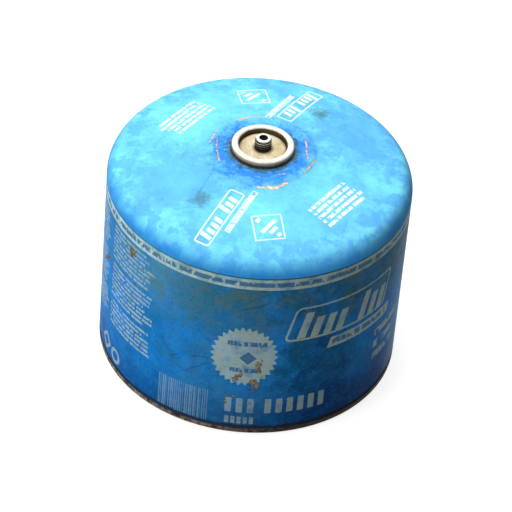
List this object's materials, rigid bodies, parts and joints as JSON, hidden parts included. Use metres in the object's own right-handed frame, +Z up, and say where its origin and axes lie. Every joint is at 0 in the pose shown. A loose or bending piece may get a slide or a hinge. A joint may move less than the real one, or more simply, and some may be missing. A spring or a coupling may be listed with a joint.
{
  "type": "camping gas canister",
  "caption": "Squat blue steel gas canister with a domed top, a crimped mounting cup in the middle and a threaded valve post with a sprung stem inside",
  "frame": {"origin": "centre of the circle that the canister stands on", "axes": "+Z up along the axis of the canister and its valve; -Y towards the side that the picture shows"},
  "size_m": [0.108, 0.108, 0.0908],
  "materials": {
    "blue_paint": "semi-gloss printed enamel on steel, scratched, with rust at the edges",
    "tinplate": "dull cream-coloured tinplate, brown dirt in the corners",
    "turned_steel": "turned steel, dark in the thread",
    "black_rubber": "matt moulded rubber",
    "dark_plastic": "moulded acetal",
    "white_plastic": "moulded acetal",
    "spring_steel": "drawn stainless spring wire"
  },
  "bodies": {
    "canister": {"can_body": "blue_paint", "cup_gasket": "black_rubber", "valve_cup": "tinplate", "threaded_post": "turned_steel", "stem_seal": "black_rubber", "stem_spring": "spring_steel", "valve_housing": "white_plastic"},
    "valve_stem": {"valve_stem": "dark_plastic"}
  },
  "joints": [
    {"name": "stem_press", "type": "slide", "parent": "canister", "child": "valve_stem", "axis": [0, 0, -1], "range_m": [0, 0.0012], "stiffness_N_per_m": 500, "springref_m": -0.001, "deforming": ["stem_spring"]}
  ]
}
